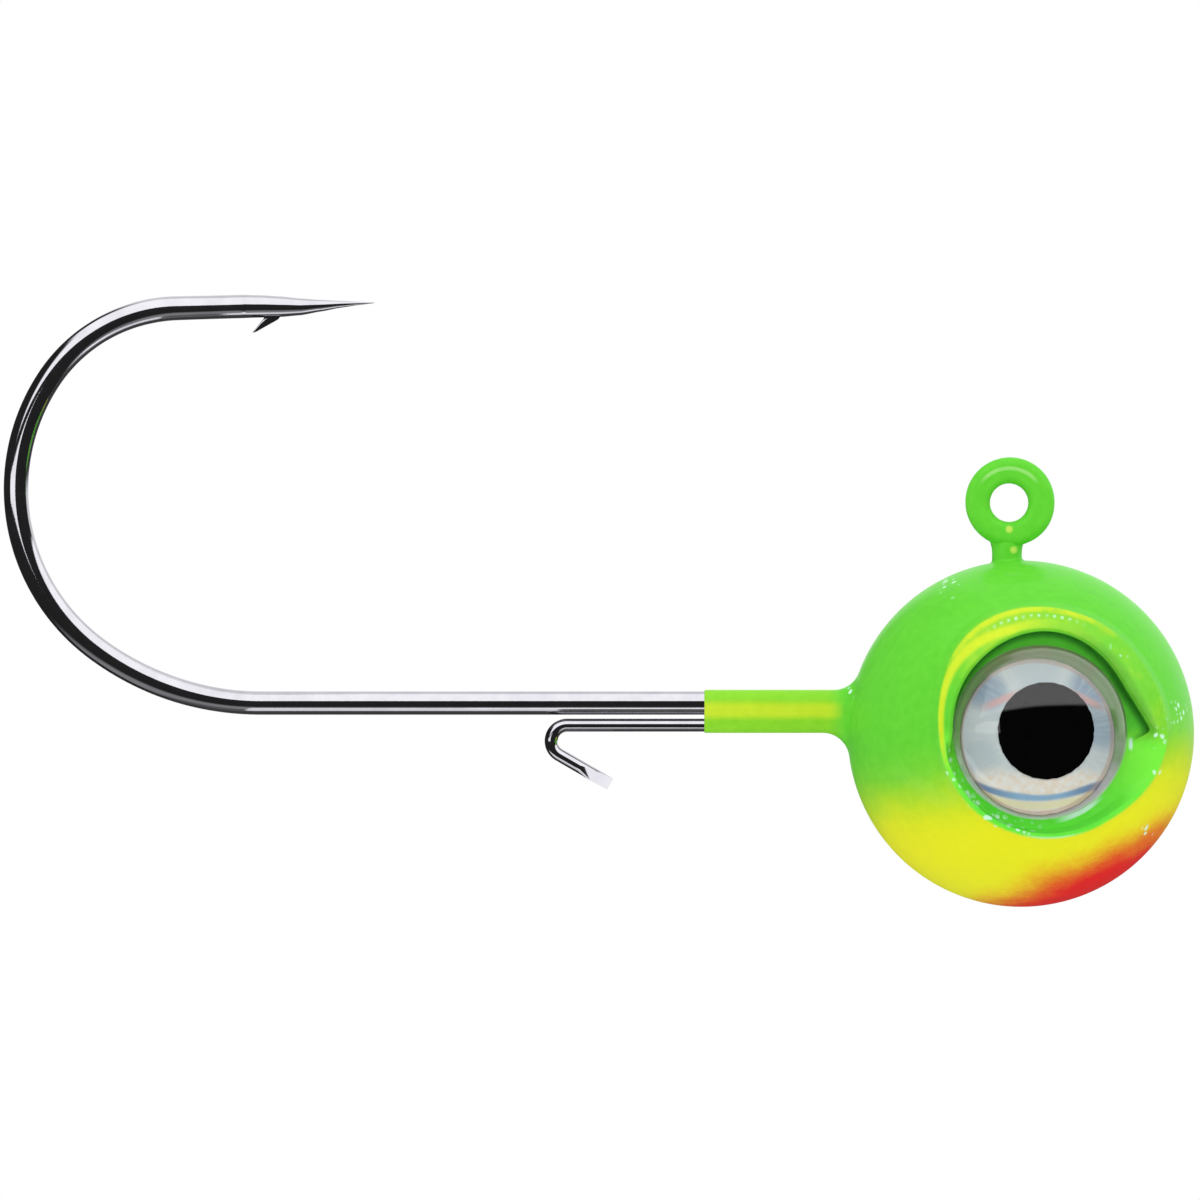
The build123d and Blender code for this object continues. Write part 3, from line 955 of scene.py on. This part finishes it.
def build_coat():
    """The whole coat of paint: ring, stem, collar and head, with the ring a little out of true."""
    bm = bmesh.new()
    build_ring(bm)
    for vert in bm.verts:
        reach = hypot(vert.co.x, vert.co.z)
        share = smooth(reach, 0.8 * MM, 1.5 * MM)
        bearing = atan2(vert.co.z, vert.co.x)
        bulge = 1 + 0.012 * share * (1 - smooth(abs(bearing + radians(35)), 0, radians(40)))
        vert.co.x = vert.co.x * bulge + 0.03 * MM * share
        vert.co.z = vert.co.z * bulge + 0.03 * MM * share
    build_stem(bm)
    build_collar(bm)
    build_head(bm, 288)
    piece("painted_head", bm, COAT, "paint_coat", crisp=60)


def build_casting():
    """Bare lead under the paint: the head's form, taken in by the film and deeper at the lids."""
    bm = bmesh.new()
    build_head(bm, 96)
    lid = bm.verts.layers.float["lid"]
    for vert in bm.verts:
        flip = Vector((1, 1 if vert.co.y * EYE.y > 0 else -1, 1))
        spot = vert.co * flip
        out = (spot - EYE).dot(EYE_OUT)
        across = spot - EYE - EYE_OUT * out
        sunk = EYE + across * 1.05 + EYE_OUT * (out - 0.6 * MM)
        round_spot = BALL + (spot - BALL) * (1 - FILM / BALL_R)
        vert.co = sunk.lerp(round_spot, smooth(vert[lid], 2.0, 2.3)) * flip
    piece("lead_head", bm, LEAD, "head_casting")


# ------------------------------------------------------------------------------- eyes
def eye_disc(name, side, radius, low, high, shift, rough, material, node):
    """A flat disc in the eye, with an edge that is as ragged as it is rough."""
    bm = bmesh.new()
    place = Matrix.Identity(4)
    place.col[0][:3] = EYE_ALONG * radius
    place.col[1][:3] = EYE_UP * radius
    place.col[2][:3] = EYE_OUT * MM
    place.col[3][:3] = EYE + EYE_ALONG * shift[0] + EYE_UP * shift[1] + EYE_OUT * low
    _, verts = first_ring(bm, 192, place)
    centre = place.to_translation()
    for vert in verts:
        bearing = atan2((vert.co - centre).dot(EYE_UP), (vert.co - centre).dot(EYE_ALONG))
        ragged = sin(bearing * 23) + 0.8 * sin(bearing * 37 + 1) + 0.6 * sin(bearing * 61 + 2)
        vert.co = centre + (vert.co - centre) * (1 + rough * ragged)
    made = bmesh.ops.extrude_face_region(bm, geom=bm.faces[:])["geom"]
    verts = [item for item in made if isinstance(item, bmesh.types.BMVert)]
    bmesh.ops.translate(bm, vec=EYE_OUT * (high - low), verts=verts)
    finish_side(name, bm, side, material, node)


def finish_side(name, bm, side, material, node):
    """Finish an eye's piece, which is mirrored for the left side."""
    if side == "left":
        bmesh.ops.scale(bm, vec=(1, -1, 1), verts=bm.verts)
    piece(f"{side}_{name}", bm, material, f"{side}_{node}")


def build_dome(side):
    """Clear dome: a flat crown that runs into a tighter shoulder and a straight rim."""
    bm = bmesh.new()
    low = GLUE_T - 0.005 * MM
    crown_r, shoulder_r = 5.5 * MM, 1.36 * MM
    crown_angle = asin((DOME_R - shoulder_r) / (crown_r - shoulder_r))
    rim_top = GLUE_T + 0.45 * MM
    profile = [(0.0, low), (DOME_R - 0.03 * MM, low), (DOME_R, low + 0.03 * MM), (DOME_R, rim_top)]
    for part in range(1, 13):
        angle = (pi / 2 - crown_angle) * part / 12
        profile.append((DOME_R - shoulder_r * (1 - cos(angle)), rim_top + shoulder_r * sin(angle)))
    crown_z = profile[-1][1] - crown_r * cos(crown_angle)
    for part in range(1, 13):
        angle = crown_angle * (1 - part / 12)
        profile.append((crown_r * sin(angle), crown_z + crown_r * cos(angle)))
    verts = [bm.verts.new(EYE + EYE_ALONG * reach + EYE_OUT * height) for reach, height in profile]
    edges = [bm.edges.new(pair) for pair in zip(verts, verts[1:])]
    bmesh.ops.spin(
        bm, geom=verts + edges, cent=EYE, axis=EYE_OUT, angle=2 * pi, steps=160, use_merge=True
    )
    bmesh.ops.remove_doubles(bm, verts=bm.verts, dist=0.0005 * MM)
    finish_side("eye_lens", bm, side, RESIN, "eye_dome")


build_hook()
build_keeper()
build_coat()
build_casting()
for side in ("right", "left"):
    eye_disc(
        "eye_pad", side, DOME_R - 0.14 * MM, 0.0, GLUE_T, (0, 0), 0.0, GLUE, "eye_adhesive"
    )
    eye_disc(
        "eye_print", side, DOME_R - 0.78 * MM, GLUE_T, GLUE_T + 0.06 * MM,
        (-0.03 * MM, -0.10 * MM), 0.001, FOIL, "eye_foil",
    )
    eye_disc(
        "eye_spot", side, 1.51 * MM, GLUE_T + 0.06 * MM, GLUE_T + 0.09 * MM,
        (0.16 * MM, 0.05 * MM), 0.004, INK, "eye_pupil",
    )
    build_dome(side)


# ------------------------------------------------------------------------------ studio
def build_floor():
    """Pale floor, far enough down that views from below still see the part."""
    bm = bmesh.new()
    bmesh.ops.create_grid(
        bm, x_segments=1, y_segments=1, size=5, matrix=Matrix.Translation((0, 0, -1.35))
    )
    mesh = bpy.data.meshes.new("floor")
    bm.to_mesh(mesh)
    bm.free()
    material, graph, shader = new_material("pale_floor")
    spot = graph.add("ShaderNodeTexCoord").outputs["Object"]
    graph.put(
        shader.inputs["Base Color"],
        graph.ramp(graph.noise(spot, 3.0), (0.3, (0.93, 0.93, 0.93, 1)), (0.7, (0.95, 0.95, 0.95, 1))),
    )
    set_shader(shader, Roughness=0.9, Specular_IOR_Level=0.0)
    mesh.materials.append(material)
    floor = bpy.data.objects.new("floor", mesh)
    bpy.context.scene.collection.objects.link(floor)
    floor.visible_glossy = False


def build_world():
    """White room light, with what the glossy parts mirror: sky above, dark low in front, grey floor."""
    world = bpy.data.worlds.new("studio")
    bpy.context.scene.world = world
    world.use_nodes = True
    world.node_tree.nodes.clear()
    graph = Graph(world.node_tree)
    way = graph.add("ShaderNodeTexCoord").outputs["Generated"]
    split = graph.add("ShaderNodeSeparateXYZ", Vector=way)
    x, y, z = split.outputs[0], split.outputs[1], split.outputs[2]
    lift = graph.weighted(x, -0.116, z, 1.0)
    lift = graph.plus(lift, graph.times(graph.times(x, x), 0.17))
    sky = graph.times(graph.ease(lift, 0.295, 0.345, 0.0, 2.2), graph.ease(x, -0.70, -0.60))
    grey = graph.times(graph.ease(z, -0.58, -0.80), 0.42)
    deep = graph.times(graph.ease(z, -0.90, -0.96), -0.25)
    front = graph.plus(graph.plus(sky, grey), deep)
    behind = graph.times(graph.ease(z, -0.10, 0.05, 0.06, 1.35), graph.ease(x, -0.40, -0.20))
    mirror = graph.plus(
        graph.times(front, graph.ease(y, 0.25, 0.05)), graph.times(behind, graph.ease(y, 0.05, 0.25))
    )
    mirror = graph.plus(mirror, 0.035)
    glossy = graph.add("ShaderNodeLightPath").outputs["Is Glossy Ray"]
    strength = graph.plus(graph.times(mirror, glossy), graph.minus(1.0, glossy))
    light = graph.add("ShaderNodeBackground", Color=(1, 1, 1, 1), Strength=strength)
    result = graph.add("ShaderNodeOutputWorld")
    graph.tree.links.new(light.outputs[0], result.inputs[0])


def build_card(name, place, tilt, half_sizes, strength):
    """White card that only the glossy parts see, turned about X by a tilt in degrees."""
    bm = bmesh.new()
    flat = Matrix.Rotation(radians(tilt), 4, "X") @ Matrix.Diagonal((*half_sizes, 1, 1))
    bmesh.ops.create_grid(
        bm, x_segments=1, y_segments=1, size=1, matrix=Matrix.Translation(place) @ flat
    )
    mesh = bpy.data.meshes.new(name)
    bm.to_mesh(mesh)
    bm.free()
    material = bpy.data.materials.new(name)
    material.use_nodes = True
    material.node_tree.nodes.clear()
    graph = Graph(material.node_tree)
    glow = graph.add("ShaderNodeEmission", Color=(1, 1, 1, 1), Strength=strength)
    result = graph.add("ShaderNodeOutputMaterial")
    graph.tree.links.new(glow.outputs[0], result.inputs[0])
    mesh.materials.append(material)
    card = bpy.data.objects.new(name, mesh)
    bpy.context.scene.collection.objects.link(card)
    card.visible_camera = False
    card.visible_diffuse = False
    card.visible_transmission = False
    card.visible_shadow = False


def build_light(name, place, aim, size, power):
    """Soft round lamp that the glossy parts don't mirror."""
    data = bpy.data.lights.new(name, "AREA")
    data.shape = "DISK"
    data.size = size
    data.energy = power
    lamp = bpy.data.objects.new(name, data)
    lamp.location = place
    lamp.rotation_mode = "QUATERNION"
    lamp.rotation_quaternion = (Vector(place) - aim).to_track_quat("Z", "Y")
    bpy.context.scene.collection.objects.link(lamp)
    lamp.visible_glossy = False
    lamp.visible_camera = False


def build_camera():
    """Very long lens square to the lure's right side."""
    data = bpy.data.cameras.new("camera")
    data.lens = LENS
    data.sensor_width = 36
    data.clip_start = 0.01
    data.clip_end = 10
    camera = bpy.data.objects.new("camera", data)
    camera.location = (CENTRE.x + 0.03 * MM, -0.0426 * LENS / 36, CENTRE.z + 0.02 * MM)
    camera.rotation_euler = (radians(90), 0, 0)
    bpy.context.scene.collection.objects.link(camera)
    bpy.context.scene.camera = camera


build_floor()
build_world()
build_card("strip_card", (-0.125, -0.15, 0.002), 90, (0.072, 0.012), 2.1)
build_card("shank_card", (-0.0218, -0.0065, SHANK_Z - 0.0105), 32, (0.0058, 0.0065), 1.6)
build_card("keeper_card", (-0.0145, -0.0095, KEEPER_Z - 0.0115), 40, (0.0048, 0.0055), 2.2)
build_light("top_soft", (-0.03, -0.22, 0.36), CENTRE, 0.35, 0.3)
build_camera()
bpy.context.scene.view_settings.view_transform = "Standard"
bpy.context.scene.view_settings.look = "None"
